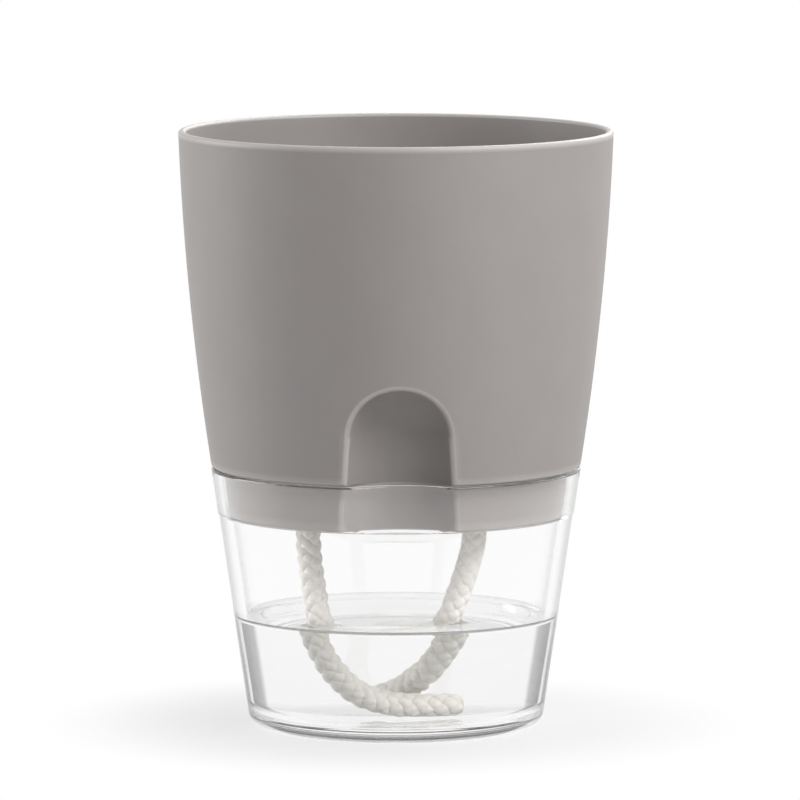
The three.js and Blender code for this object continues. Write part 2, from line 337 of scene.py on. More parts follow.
# Wick: one braided rope in three stretches, which meet in the holes of the pot's floor
wick = {
    "diameter": 7.5,
    "pitch": 15.6,       # one turn of a strand
    "weave": 0.52,       # how far a strand goes in and out as it crosses the others
    "strandWidth": 3.9,
    "strandDepth": 2.2,
    "slack": 0.3,        # how far a strand strays from its even lay
    "slackLength": 5,
    "core": 2.4,         # radius of the filling yarns
    "endRound": 2.2,
    "step": 0.4,
    "strandSides": 14,
    "coreSides": 12,
    "leastStrand": 0.25,  # share of its thickness that a strand keeps at the cut end
}
frontTailRoute = [
    (-26, -16, 63.8), (-26, -16.4, 58), (-25.3, -17.4, 50), (-24.2, -18.6, 42), (-22.5, -19.4, 34),
    (-19.4, -19, 26), (-15, -16.6, 19), (-8.4, -12.4, 12.8), (-1, -8.2, 10.1), (6.8, -4.6, 9.3),
    (14.6, -1.4, 8.9),
]
backTailRoute = [
    (22.7, -16, 63.8), (22.5, -15.9, 57), (20.9, -15.2, 50), (18.4, -14.4, 42), (15.3, -13.2, 34.2),
    (11.9, -11, 27.4), (8.4, -7.4, 21.6), (5, -2.4, 17.4), (1.6, 2.6, 14), (-2, 6.6, 11.6), (-6, 9.6, 10.3),
]
loopRoute = [
    (-26, -16, 64.1), (-26, -15.9, 67.6), (-26, -15.2, 71.8), (-25.8, -11.9, 77.6), (-25, -6.2, 81.4),
    (-23.4, 0.6, 82.2), (-21, 6.5, 80.1), (-17.6, 11.6, 76.2), (-13.3, 15.6, 72.4), (-7.7, 18.6, 70.7),
    (-1.6, 19.8, 70.4), (4.5, 18.6, 70.7), (10.1, 15.6, 72.4), (14.4, 11.6, 76.2), (17.8, 6.5, 80.1),
    (20.2, 0.6, 82.2), (21.8, -6.2, 81.4), (22.5, -11.9, 77.6), (22.7, -15.2, 71.8), (22.7, -15.9, 67.6),
    (22.7, -16, 64.1),
]


# A smooth line through the route's points, in metres
def smoothRoute(route, perSpan=16):
    points = [Vector(p) * mm for p in route]
    points = [2 * points[0] - points[1]] + points + [2 * points[-1] - points[-2]]
    line = []
    for p0, p1, p2, p3 in zip(points, points[1:], points[2:], points[3:]):
        knots = [0]
        for a, b in ((p0, p1), (p1, p2), (p2, p3)):
            knots.append(knots[-1] + math.sqrt((b - a).length))

        def pull(a, b, first, last):
            return a.lerp(b, (t - knots[first]) / (knots[last] - knots[first]))

        for i in range(perSpan):
            t = between(knots[1], knots[2], i / perSpan)
            a1, a2, a3 = pull(p0, p1, 0, 1), pull(p1, p2, 1, 2), pull(p2, p3, 2, 3)
            line.append(pull(pull(a1, a2, 0, 2), pull(a2, a3, 1, 3), 1, 2))
    return line + [points[-2]]


# Geometry nodes that braid eight strands round a line: four turn each way, over one and under one
def braidTree(sizeNames):
    eachWay = 4
    tree = bpy.data.node_groups.new("ropeBraid", "GeometryNodeTree")
    tree.interface.new_socket("Line", in_out="INPUT", socket_type="NodeSocketGeometry")
    for name in (*sizeNames, "Cut ends"):
        tree.interface.new_socket(name, in_out="INPUT", socket_type="NodeSocketFloat")
    tree.interface.new_socket("Cotton", in_out="INPUT", socket_type="NodeSocketMaterial")
    tree.interface.new_socket("Rope", in_out="OUTPUT", socket_type="NodeSocketGeometry")
    sizes = addNode(tree, "NodeGroupInput").outputs
    line = addNode(tree, "GeometryNodeResampleCurve", {
        "Curve": sizes["Line"], "Length": sizes["Step"]}, mode="LENGTH")
    strands = addNode(tree, "GeometryNodeDuplicateElements", {
        "Geometry": line, "Amount": 2 * eachWay}, domain="SPLINE")
    index = strands.outputs["Duplicate Index"]
    travel = addNode(tree, "GeometryNodeSplineParameter").outputs["Length"]
    whole = addNode(tree, "GeometryNodeSplineLength").outputs["Length"]
    odd = addNode(tree, "ShaderNodeMath", {0: index, 1: 2}, operation="MODULO")
    hand = addNode(tree, "ShaderNodeMath", {0: odd, 1: -2, 2: 1}, operation="MULTIPLY_ADD")
    half = addNode(tree, "ShaderNodeMath", {0: index, 1: 0.5}, operation="MULTIPLY")
    place = addNode(tree, "ShaderNodeMath", {0: half}, operation="FLOOR")
    turn = addNode(tree, "ShaderNodeMath", {0: travel, 1: sizes["Pitch"]}, operation="DIVIDE")
    turned = addNode(tree, "ShaderNodeMath", {0: turn, 1: 2 * math.pi}, operation="MULTIPLY")
    start = addNode(tree, "ShaderNodeMath", {0: place, 1: 2 * math.pi / eachWay}, operation="MULTIPLY")
    angle = addNode(tree, "ShaderNodeMath", {0: turned, 1: hand, 2: start}, operation="MULTIPLY_ADD")
    crossing = addNode(tree, "ShaderNodeMath", {0: turned, 1: eachWay}, operation="MULTIPLY")
    sway = addNode(tree, "ShaderNodeMath", {0: crossing}, operation="COSINE")
    lift = addNode(tree, "ShaderNodeMath", {0: sway, 1: hand}, operation="MULTIPLY")
    reach = addNode(tree, "ShaderNodeMath", {
        0: lift, 1: sizes["Weave"], 2: sizes["Middle radius"]}, operation="MULTIPLY_ADD")

    # The cut end draws in to a blunt round
    left = addNode(tree, "ShaderNodeMath", {0: whole, 1: travel}, operation="SUBTRACT")
    share = addNode(tree, "ShaderNodeMath", {0: left, 1: sizes["End round"]}, operation="DIVIDE",
                    use_clamp=True)
    away = addNode(tree, "ShaderNodeMath", {0: 1, 1: share}, operation="SUBTRACT")
    square = addNode(tree, "ShaderNodeMath", {0: away, 1: away}, operation="MULTIPLY")
    drawIn = addNode(tree, "ShaderNodeMath", {0: square, 1: sizes["Cut ends"]}, operation="MULTIPLY")
    full = addNode(tree, "ShaderNodeMath", {0: 1, 1: drawIn}, operation="SUBTRACT")
    blunt = addNode(tree, "ShaderNodeMath", {0: full}, operation="SQRT")
    held = addNode(tree, "ShaderNodeMath", {0: reach, 1: blunt}, operation="MULTIPLY")

    forward = addNode(tree, "GeometryNodeInputTangent").outputs[0]
    side = addNode(tree, "GeometryNodeInputNormal").outputs[0]
    other = addNode(tree, "ShaderNodeVectorMath", {0: forward, 1: side}, operation="CROSS_PRODUCT")
    cosine = addNode(tree, "ShaderNodeMath", {0: angle}, operation="COSINE")
    sine = addNode(tree, "ShaderNodeMath", {0: angle}, operation="SINE")
    along = addNode(tree, "ShaderNodeVectorMath", {0: side, "Scale": cosine}, operation="SCALE")
    across = addNode(tree, "ShaderNodeVectorMath", {0: other, "Scale": sine}, operation="SCALE")
    outward = addNode(tree, "ShaderNodeVectorMath", {0: along, 1: across}, operation="ADD")
    lay = addNode(tree, "ShaderNodeVectorMath", {0: outward, "Scale": held}, operation="SCALE")

    # No strand lies quite evenly
    often = addNode(tree, "ShaderNodeMath", {0: 1, 1: sizes["Slack length"]}, operation="DIVIDE")
    uneven = addNode(tree, "ShaderNodeTexNoise", {
        "W": index, "Scale": often, "Detail": 1}, noise_dimensions="4D")
    strayed = addNode(tree, "ShaderNodeVectorMath", {
        0: uneven.outputs["Color"], 1: (0.5, 0.5, 0.5)}, operation="SUBTRACT")
    twice = addNode(tree, "ShaderNodeMath", {0: sizes["Slack"], 1: 2}, operation="MULTIPLY")
    stray = addNode(tree, "ShaderNodeVectorMath", {0: strayed, "Scale": twice}, operation="SCALE")
    shift = addNode(tree, "ShaderNodeVectorMath", {0: lay, 1: stray}, operation="ADD")

    kept = addNode(tree, "GeometryNodeCaptureAttribute", {"Geometry": strands})
    marks = (("outward", "VECTOR", outward.outputs[0]), ("shift", "VECTOR", shift.outputs[0]),
             ("travel", "FLOAT", travel), ("blunt", "FLOAT", blunt.outputs[0]),
             ("reach", "FLOAT", held.outputs[0]))
    for name, kind, source in marks:
        kept.capture_items.new(kind, name)
        tree.links.new(source, kept.inputs[name])
    moved = addNode(tree, "GeometryNodeSetPosition", {
        "Geometry": kept.outputs["Geometry"], "Offset": kept.outputs["shift"]})
    facing = addNode(tree, "GeometryNodeSetCurveNormal", {
        "Curve": moved, "Normal": kept.outputs["outward"]}, mode="FREE")
    thick = addNode(tree, "ShaderNodeMath", {
        0: kept.outputs["blunt"], 1: wick["leastStrand"]}, operation="MAXIMUM")

    section = addNode(tree, "GeometryNodeCurvePrimitiveCircle", {
        "Resolution": wick["strandSides"], "Radius": 0.5}, mode="RADIUS")
    aroundNow = addNode(tree, "GeometryNodeSplineParameter").outputs["Factor"]
    ring = addNode(tree, "GeometryNodeCaptureAttribute", {"Geometry": section})
    ring.capture_items.new("FLOAT", "around")
    tree.links.new(aroundNow, ring.inputs["around"])
    flat = addNode(tree, "ShaderNodeCombineXYZ", {0: sizes["Strand depth"], 1: sizes["Strand width"], 2: 1})
    oval = addNode(tree, "GeometryNodeTransform", {"Geometry": ring.outputs["Geometry"], "Scale": flat})
    tubes = addNode(tree, "GeometryNodeCurveToMesh", {
        "Curve": facing, "Profile Curve": oval, "Scale": thick, "Fill Caps": True})
    strandUv = addNode(tree, "ShaderNodeCombineXYZ", {
        0: ring.outputs["around"], 1: kept.outputs["travel"], 2: kept.outputs["reach"]})
    marked = addNode(tree, "GeometryNodeStoreNamedAttribute", {
        "Geometry": tubes, "Name": "strandUv", "Value": strandUv}, data_type="FLOAT_VECTOR", domain="POINT")

    coreRing = addNode(tree, "GeometryNodeCurvePrimitiveCircle", {
        "Resolution": wick["coreSides"], "Radius": sizes["Core"]}, mode="RADIUS")
    core = addNode(tree, "GeometryNodeCurveToMesh", {
        "Curve": line, "Profile Curve": coreRing, "Fill Caps": True})
    joined = addNode(tree, "GeometryNodeJoinGeometry")
    tree.links.new(core.outputs[0], joined.inputs[0])
    tree.links.new(marked.outputs[0], joined.inputs[0])
    smooth = addNode(tree, "GeometryNodeSetShadeSmooth", {"Geometry": joined})
    real = addNode(tree, "GeometryNodeRealizeInstances", {"Geometry": smooth})
    dressed = addNode(tree, "GeometryNodeSetMaterial", {"Geometry": real, "Material": sizes["Cotton"]})
    addNode(tree, "NodeGroupOutput", {0: dressed})
    return tree


def makeWick(cotton):
    sizes = {
        "Middle radius": (wick["diameter"] - wick["strandDepth"]) / 2 - wick["weave"],
        "Pitch": wick["pitch"], "Weave": wick["weave"], "Strand width": wick["strandWidth"],
        "Strand depth": wick["strandDepth"], "Slack": wick["slack"], "Slack length": wick["slackLength"],
        "Core": wick["core"], "End round": wick["endRound"], "Step": wick["step"],
    }
    tree = braidTree(sizes)
    inputs = {item.name: item.identifier for item in tree.interface.items_tree if item.in_out == "INPUT"}
    stretches = (
        ("wick_front_tail_braid", "wick_front_tail", frontTailRoute, 1, "bare", "hanging"),
        ("wick_back_tail_braid", "wick_back_tail", backTailRoute, 1, "bare", "hanging"),
        ("wick_loop_braid", "wick_loop", loopRoute, 0, "object", "loose"),
    )
    for name, node, route, cutEnd, farEnd, lay in stretches:
        path = smoothRoute(route)
        curve = bpy.data.curves.new(name + "_line", "CURVE")
        curve.dimensions = "3D"
        spline = curve.splines.new("POLY")
        spline.points.add(len(path) - 1)
        for point, place in zip(spline.points, path):
            point.co = (*place, 1)
        line = addObject(name + "_line", curve)
        braid = line.modifiers.new("braid", "NODES")
        braid.node_group = tree
        for key, value in sizes.items():
            braid[inputs[key]] = value * mm
        braid[inputs["Cut ends"]] = float(cutEnd)
        braid[inputs["Cotton"]] = cotton
        mesh = plainMesh(line)
        bpy.data.objects.remove(line)
        rope = addObject(name, mesh)
        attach(rope, "pot")
        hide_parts(node)


# Rings of points. All rings of one moulding have the same points: flank, corner and bite on the
# right, the same mirrored on the left, and the rest of the way round the back.
ring = {"flank": 8, "corner": 7, "bite": 14, "back": 150, "flankAngle": math.radians(30)}


# Where the rounded corner sits between a ring and the round bite out of its front
def cornerOf(radius, biteRadius, biteY, corner):
    inner = radius - corner
    y = (biteRadius + corner) ** 2 - inner ** 2 - biteY ** 2
    y = y / (2 * abs(biteY))
    return math.sqrt(inner ** 2 - y ** 2), y


def backOf(radius, z):
    turn = [between(ring["flankAngle"], 2 * math.pi - ring["flankAngle"], s) for s in steps(ring["back"])]
    return [(-radius * math.sin(a), -radius * math.cos(a), z) for a in turn]


# Points along an arc, without its last
def arcPoints(x, y, z, radius, first, last, count):
    turn = [between(first, last, s) for s in steps(count)[:-1]]
    return [(x + radius * math.cos(a), y + radius * math.sin(a), z) for a in turn]


def bittenRing(z, radius, biteRadius, biteY, corner):
    x, y = cornerOf(radius, biteRadius, biteY, corner)
    first, last = math.atan2(y, x), math.atan2(biteY - y, -x)
    half = arcPoints(0, 0, z, radius, ring["flankAngle"] - math.pi / 2, first, ring["flank"])
    half += arcPoints(x, y, z, corner, first, last, ring["corner"])
    half += arcPoints(0, biteY, z, biteRadius, math.atan2(y - biteY, x), math.pi / 2, ring["bite"])
    middle = [(0, biteY + biteRadius, z)]
    mirrored = [(-px, py, pz) for px, py, pz in reversed(half)]
    return half + middle + mirrored + backOf(radius, z)[1:-1]


# A whole ring whose points stand at the same angles as those of another
def wholeRing(z, radius, like):
    angles = [math.atan2(y, x) for x, y, _ in like]
    return [(radius * math.cos(a), radius * math.sin(a), z) for a in angles]


# Points of a quarter round, as (set in, down) from its start on the side to its end underneath
def quarter(radius, count):
    turn = [s * math.pi / 2 for s in steps(count)]
    return [(radius * (1 - math.cos(a)), radius * math.sin(a)) for a in turn]


def addRows(bm, rows, closed=True):
    grid = [[bm.verts.new(Vector(p) * mm) for p in row] for row in rows]
    for upper, lower in zip(grid, grid[1:]):
        for i in range(len(upper) if closed else len(upper) - 1):
            j = (i + 1) % len(upper)
            bm.faces.new((upper[i], upper[j], lower[j], lower[i]))


# A flat floor inside an outline, with round holes left in it
def addFloor(bm, outline, holes):
    edges = []
    for loop in [outline] + holes:
        verts = [bm.verts.new(Vector(p) * mm) for p in loop]
        edges += [bm.edges.new((a, b)) for a, b in zip(verts, verts[1:] + verts[:1])]
    bmesh.ops.triangle_fill(bm, edges=edges, use_beauty=True, normal=(0, 0, 1))


# Makes normals lean to the larger face, so that flats stay flat beside their rounds, for pieces that
# light bends through
def leanNormals(piece):
    lean = piece.modifiers.new("lean", "WEIGHTED_NORMAL")
    lean.keep_sharp = True
    piece.data = plainMesh(piece)
    piece.modifiers.remove(lean)


# Marks the rounded edges that get a painted highlight, by how sharply the skin bends at each point
def markPaintedEdgeLight(bm, bend):
    edgeLight = bm.verts.layers.float.new("paintedEdgeLight")
    for vert in bm.verts:
        ways = [(e.other_vert(vert).co - vert.co).normalized() for e in vert.link_edges]
        lean = -sum(way.dot(vert.normal) for way in ways) / len(ways)
        vert[edgeLight] = min(1, max(0, (lean - bend[0]) / (bend[1] - bend[0])))


def finishMoulding(bm, name, material, body, sharpDegrees=40, edgeLightBend=None):
    mergeReach, leastEdge = 0.004, 0.001    # millimetres
    bmesh.ops.remove_doubles(bm, verts=bm.verts, dist=mergeReach * mm)
    bmesh.ops.dissolve_degenerate(bm, edges=bm.edges, dist=leastEdge * mm)
    bmesh.ops.recalc_face_normals(bm, faces=bm.faces)
    openEdges = sum(1 for e in bm.edges if len(e.link_faces) != 2)
    bm.normal_update()
    if edgeLightBend:
        markPaintedEdgeLight(bm, edgeLightBend)
    mesh = bpy.data.meshes.new(name)
    bm.to_mesh(mesh)
    bm.free()
    mesh.shade_smooth()
    mesh.set_sharp_from_angle(angle=math.radians(sharpDegrees))
    mesh.materials.append(material)
    piece = addObject(name, mesh)
    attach(piece, body)
    print(name, "made,", len(mesh.polygons), "faces,", openEdges, "open edges")
    return piece


# Pot: a swelling shell on a narrower collar, with a domed scoop in its front
pot = {
    "topRadius": 64.7,
    "shoulderRadius": 55,
    "bow": 1.5,           # how far the side swells at half its height
    "wall": 2.2,
    "rimRound": 1,
    "shoulderRound": 0.9,
    "stepRound": 1.5,
    "collarTop": 51.64,
    "collarFoot": 49.63,
    "collarRound": 0.5,
    "collarDrop": 0.25,   # the collar's foot all but rests on the ledge
    "floor": 2.4,
    "floorRound": 2,
    "scoopSpring": 13.8,  # height above the seat where its sides turn into its dome
    "scoopSpringRadius": 14.9,
    "scoopFootRadius": 16.4,
    "scoopBack": 41,
    "scoopEdge": 1.6,
    "scoopRoot": 1.8,     # inside, where the scoop's wall meets the shell
    "notchTopRadius": 19,
    "notchFootRadius": 26.5,
    "notchBack": 40.8,
    "notchEdge": 1.8,
    "notchRoot": 2.4,
    "wickHole": 12,
    "wickHoleSpacing": 49,
    "wickHoleForward": 16,
    "drainHole": 4,
    "drainCircle": 33,
    "drainCount": 7,
    "drainArc": 200,
    "holeEdge": 0.4,
    "seatEdge": 0.2,      # under the shoulder, where the collar starts
    "innerSeatEdge": 1.2,
    "floorBorder": 0.3,   # from the round at the floor's edge to its flat
    "edgeLightBend": (0.022, 0.052),   # how sharp an edge starts to get the painted highlight, and where it gets it in full
}
potGrid = {"side": 8, "top": 8, "topOfScoopZ": 124, "rowsBelow": 8, "rowsAbove": 22, "rowsCollar": 5,
           "round": 6, "stepRound": 5, "wickHoleSides": 48, "drainSides": 24}
scoopY = -pot["scoopBack"] - pot["scoopFootRadius"]
springZ = seatZ + pot["scoopSpring"]
sideTop = potTopZ - 2 * pot["rimRound"]


def shellRadius(z):
    share = (z - seatZ) / (potTopZ - seatZ)
    return between(pot["shoulderRadius"], pot["topRadius"], share) + pot["bow"] * 4 * share * (1 - share)


def scoopRadius(z):
    return between(pot["scoopFootRadius"], pot["scoopSpringRadius"], (z - seatZ) / pot["scoopSpring"])


def collarRing(z, inset, corner, setIn=0):
    share = (seatZ - z) / (seatZ - potFloorZ)
    notch = between(pot["notchTopRadius"], pot["notchFootRadius"], share)
    radius = between(pot["collarTop"], pot["collarFoot"], share)
    return bittenRing(z, radius - inset - setIn, notch + inset + setIn, -pot["notchBack"] - notch,
                      corner - setIn)


# The dome of the scoop: spokes from a rectangle on the shell, over the rounded edge, to its back
def domeRows(inset, corner):
    heart = Vector((0, scoopY, springZ))
    radius = pot["scoopSpringRadius"] + inset
    side, top = potGrid["side"], potGrid["top"]
    flankAngle = ring["flankAngle"]
    halvings = 50    # of the angle where the ball of the rounded edge touches both
    rows = []
    for j in range(2 * side + 2 * top + 1):
        phi = math.pi * j / (2 * side + 2 * top)
        spoke = Vector((math.cos(phi), 0, math.sin(phi)))
        low, high = -math.pi / 4, math.pi / 2
        for _ in range(halvings):
            psi = (low + high) / 2
            ball = heart + (spoke * math.cos(psi) + Vector((0, math.sin(psi), 0))) * (radius + corner)
            if ball.xy.length > shellRadius(ball.z) - inset - corner:
                low = psi
            else:
                high = psi
        outward = Vector((ball.x, ball.y, 0)).normalized()
        inward = (heart - ball).normalized()
        onShell = ball + outward * corner
        if j <= side:
            edge = (flankAngle, between(springZ, potGrid["topOfScoopZ"], j / side))
        elif j >= side + 2 * top:
            edge = (-flankAngle, between(springZ, potGrid["topOfScoopZ"], (2 * side + 2 * top - j) / side))
        else:
            edge = (flankAngle * (1 - (j - side) / top), potGrid["topOfScoopZ"])
        row = []
        for s in steps(ring["flank"])[:-1]:
            a = between(edge[0], math.atan2(onShell.x, -onShell.y), s)
            z = between(edge[1], onShell.z, s)
            r = shellRadius(z) - inset
            row.append((r * math.sin(a), -r * math.cos(a), z))
        row += [ball + outward.slerp(inward, s) * corner for s in steps(ring["corner"])[:-1]]
        for s in steps(ring["bite"]):
            a = between(psi, math.pi / 2, s)
            row.append(heart + (spoke * math.cos(a) + Vector((0, math.sin(a), 0))) * radius)
        rows.append(row)
    return rows


# A full ring above the scoop
def shellRing(radius, z):
    top = potGrid["top"]
    front = [ring["flankAngle"] * (1 - j / top) for j in range(2 * top)]
    return [(radius * math.sin(a), -radius * math.cos(a), z) for a in front] + backOf(radius, z)[:-1]


# One skin of the pot, outside or inside, from just under the rim down to its floor
def addPotSkin(bm, inset, seat, floorZ, edge, collarEdge, shoulder, step, foot, holes):
    topZ = potGrid["topOfScoopZ"]
    addRows(bm, domeRows(inset, edge), closed=False)
    sideRows = [between(springZ, topZ, s) for s in steps(potGrid["side"])]
    addRows(bm, [backOf(shellRadius(z) - inset, z) for z in sideRows], closed=False)
    upRows = [between(topZ, sideTop, s) for s in steps(potGrid["rowsAbove"])]
    addRows(bm, [shellRing(shellRadius(z) - inset, z) for z in upRows])

    def scoopRing(z, setIn):
        return bittenRing(z, shellRadius(z) - inset - setIn, scoopRadius(z) + inset, scoopY, edge - setIn)

    rows = [scoopRing(between(springZ, seat + shoulder, s), 0) for s in steps(potGrid["rowsBelow"])]
    rows += [scoopRing(seat + shoulder - down, setIn)
             for setIn, down in quarter(shoulder, potGrid["round"])[1:]]
    rows += [collarRing(seat - step + up, inset, collarEdge, setIn - step)
             for setIn, up in [(step - i, step - d) for d, i in quarter(step, potGrid["stepRound"])]]
    rows += [collarRing(between(seat - step, floorZ + foot, s), inset, collarEdge)
             for s in steps(potGrid["rowsCollar"])[1:]]
    rows += [collarRing(floorZ + foot - down, inset, collarEdge, setIn)
             for setIn, down in quarter(foot, potGrid["round"])[1:]]
    rows.append(collarRing(floorZ, inset, collarEdge, foot + pot["floorBorder"]))
    addRows(bm, rows)
    addFloor(bm, rows[-1], [holeRing(hole, pot["holeEdge"], floorZ) for hole in holes])


def holeRing(hole, growth, z):
    x, y, radius, count = hole
    return arcPoints(x, y, z, radius + growth, 0, 2 * math.pi, count)


def makePot(plastic):
    bm = bmesh.new()
    holes = [(side * pot["wickHoleSpacing"] / 2, -pot["wickHoleForward"], pot["wickHole"] / 2,
              potGrid["wickHoleSides"]) for side in (-1, 1)]
    for s in steps(pot["drainCount"] - 1):
        a = math.radians(pot["drainArc"] * (s - 0.5))
        holes.append((-pot["drainCircle"] * math.sin(a), pot["drainCircle"] * math.cos(a),
                      pot["drainHole"] / 2, potGrid["drainSides"]))
    floorTop = potFloorZ + pot["floor"]
    floorFoot = potFloorZ - pot["collarDrop"]
    addPotSkin(bm, 0, seatZ, floorFoot, pot["scoopEdge"], pot["notchEdge"], pot["shoulderRound"],
               pot["seatEdge"], pot["collarRound"], holes)
    addPotSkin(bm, pot["wall"], seatZ + pot["wall"], floorTop, pot["scoopRoot"], pot["notchRoot"],
               pot["stepRound"], pot["innerSeatEdge"], pot["floorRound"], holes)
    for hole in holes:
        edge = pot["holeEdge"]
        mid = edge * 0.3    # halfway round the edge
        levels = ((edge, floorFoot), (mid, floorFoot + mid), (0, floorFoot + edge), (0, floorTop - edge),
                  (mid, floorTop - mid), (edge, floorTop))
        addRows(bm, [holeRing(hole, growth, z) for growth, z in levels])
    outer, inner = shellRadius(potTopZ), shellRadius(potTopZ) - pot["wall"]
    rim = [(shellRadius(sideTop), sideTop)]
    turn = quarter(pot["rimRound"], potGrid["round"])
    rim += [(outer - i, potTopZ - pot["rimRound"] + d) for i, d in turn]
    rim += [(inner + i, potTopZ - pot["rimRound"] + d) for i, d in reversed(turn)]
    rim += [(shellRadius(sideTop) - pot["wall"], sideTop)]
    addRows(bm, [shellRing(r, z) for r, z in rim])
    piece = finishMoulding(bm, "pot_moulding", plastic, "pot", edgeLightBend=pot["edgeLightBend"])
    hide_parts("pot")


# Reservoir: a clear cup with a socket for the collar, whose front is dented for pouring
reservoir = {
    "baseRadius": 43.6,   # where the slanting side would meet the table
    "mouthRadius": 54.9,
    "wall": 3.8,
    "floor": 3,
    "baseRound": 4.5,
    "innerRound": 5,
    "socketWall": 2.4,
    "socketStep": 0.3,
    "rimRound": 0.7,
    "paintedGapShadow": 0.5,          # how far down the rim the painted shadow of the gap under the pot shows
    "kickUp": 1,
    "footRing": 3.5,
    "footEdge": 0.5,
    "sideRow": 30,        # height of a ring of points between the foot and the ledge
    "gateMark": 3,
    "gateMarkHeight": 0.5,
    "gateMarkSlope": 0.6,
    "dentRadius": 22.5,
    "dentDepth": 6.7,
    "dentShelf": 2.4,
    "dentEdge": 2,
    "dentRoot": 1.2,
}
reservoirGrid = {"round": 5, "rowsSocket": 4, "rowsShelf": 3}


def sideRadius(z):
    return between(reservoir["baseRadius"], reservoir["mouthRadius"], z / rimZ)


# An outline through (radius, height, round) corners, with an arc at each corner that has a round
def roundedOutline(corners, count=16):
    outline = []
    for i, (x, z, rounding) in enumerate(corners):
        corner = Vector((x, z))
        if not rounding:
            outline.append((x, z))
            continue
        before = (Vector(corners[i - 1][:2]) - corner).normalized()
        after = (Vector(corners[i + 1][:2]) - corner).normalized()
        halfAngle = before.angle(after) / 2
        heart = corner + (before + after).normalized() * rounding / math.sin(halfAngle)
        first = corner + before * rounding / math.tan(halfAngle) - heart
        last = corner + after * rounding / math.tan(halfAngle) - heart
        for s in steps(count):
            spoke = first.normalized().slerp(last.normalized(), s) * rounding
            outline.append(tuple(heart + spoke))
    return outline


def makeReservoir(plastic):
    bm = bmesh.new()
    dentRadius = reservoir["dentRadius"]
    dentY = -reservoir["mouthRadius"] + reservoir["dentDepth"] - dentRadius
    step, wall, skin = reservoir["socketStep"], reservoir["wall"], reservoir["socketWall"]

    def dented(z, setIn=0):
        return bittenRing(z, sideRadius(z) + step - setIn, dentRadius + setIn, dentY,
                          reservoir["dentEdge"] - setIn)

    def bulged(z, inset, setIn=0):
        return bittenRing(z, sideRadius(z) - inset - setIn, dentRadius + skin + setIn, dentY,
                          reservoir["dentRoot"] - setIn)

    # Outside, from the rim down to the half-moon shelf and on to the foot
    rimRound = reservoir["rimRound"]
    rimTurn = quarter(rimRound, reservoirGrid["round"])[::-1]
    socketSteps = steps(reservoirGrid["rowsSocket"])[1:]
    rows = [dented(rimZ - rimRound + d, i) for i, d in rimTurn]
    rows += [dented(between(rimZ - rimRound, ledgeZ + step, s)) for s in socketSteps]
    rows.append(bittenRing(ledgeZ, sideRadius(ledgeZ), dentRadius, dentY, reservoir["dentEdge"]))
    like = rows[-1]
    footInner = reservoir["baseRadius"] - reservoir["baseRound"] - reservoir["footRing"]
    kick, gate = reservoir["kickUp"], reservoir["gateMark"]
    sideRow, footEdge = reservoir["sideRow"], reservoir["footEdge"]
    outline = roundedOutline([
        (sideRadius(ledgeZ), ledgeZ, 0), (sideRadius(sideRow), sideRow, 0),
        (reservoir["baseRadius"], 0, reservoir["baseRound"]),
        (footInner, 0, footEdge), (footInner - kick, kick, footEdge),
        (gate + reservoir["gateMarkSlope"], kick, 0),
        (gate, kick - reservoir["gateMarkHeight"], 0), (0, kick - reservoir["gateMarkHeight"], 0)])
    rows += [wholeRing(z, r, like) for r, z in outline]
    addRows(bm, rows)

    # Inside, from the rim down past the ledge and the underside of the shelf to the floor
    socketIn = skin - step
    rows = [bulged(rimZ - rimRound + d, socketIn, -i) for i, d in rimTurn]
    rows += [bulged(between(rimZ - rimRound, ledgeZ, s), socketIn) for s in socketSteps]
    shelfFoot = ledgeZ - reservoir["dentShelf"]
    rows += [bulged(between(ledgeZ, shelfFoot, s), wall) for s in steps(reservoirGrid["rowsShelf"])]
    like = rows[-1]
    floorTop = kick + reservoir["floor"]
    outline = roundedOutline([
        (sideRadius(shelfFoot) - wall, shelfFoot, 0), (sideRadius(sideRow) - wall, sideRow, 0),
        (sideRadius(floorTop) - wall, floorTop, reservoir["innerRound"]), (0, floorTop, 0)])
    rows += [wholeRing(z, r, like) for r, z in outline]
    addRows(bm, rows)

    # The flat of the rim
    addRows(bm, [dented(rimZ, rimRound), bulged(rimZ, socketIn, -rimRound)])
    piece = finishMoulding(bm, "reservoir_moulding", plastic, "reservoir")
    leanNormals(piece)
    marks = piece.data.attributes
    # Marks where the rim gets the painted shadow of the gap under the pot, and the dent's walls
    for name in ("paintedGapShadow", "dent"):
        marks.new(name, "FLOAT", "POINT")
    paintedGapShadow, dent = marks["paintedGapShadow"].data, marks["dent"].data
    for i, vert in enumerate(piece.data.vertices):
        x, y, z = vert.co / mm
        inward = reservoir["mouthRadius"] + step - math.hypot(x, y)
        paintedGapShadow[i].value = float(rimZ - z < reservoir["paintedGapShadow"] and inward < rimRound + slop)
        fromDent = math.hypot(x, y - dentY) - dentRadius
        dent[i].value = float(z > shelfFoot - slop and fromDent < wall)
    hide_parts("reservoir")


# Water: fills the reservoir's floor. It runs a little into the wall, so that light bends once there.
water = {
    "level": 32.7,
    "intoWall": 0.15,
    "wallRise": 1.1,
    "brightLine": 0.4,   # height of the clear line under the lip
    "strandRise": 0.7,
    "riseLength": 0.9,   # over which a rise dies away
    "strands": ((-22.4, -19.4), (15.2, -13.2)),
    "edgeWidth": 0.05,   # of the painted dark edge against the wall
    "footWidth": 0.5,    # of the ring where the lip starts
    "slopeMark": 0.62,   # how much of a lip its slope and its foot are
    "footMark": 0.5,     # also where the painted dark of the lip starts
    "bunching": 1.5,     # draws the rings closer together near the wall
    "around": 180,
    "across": 56,
    "sharpDegrees": 50,
}


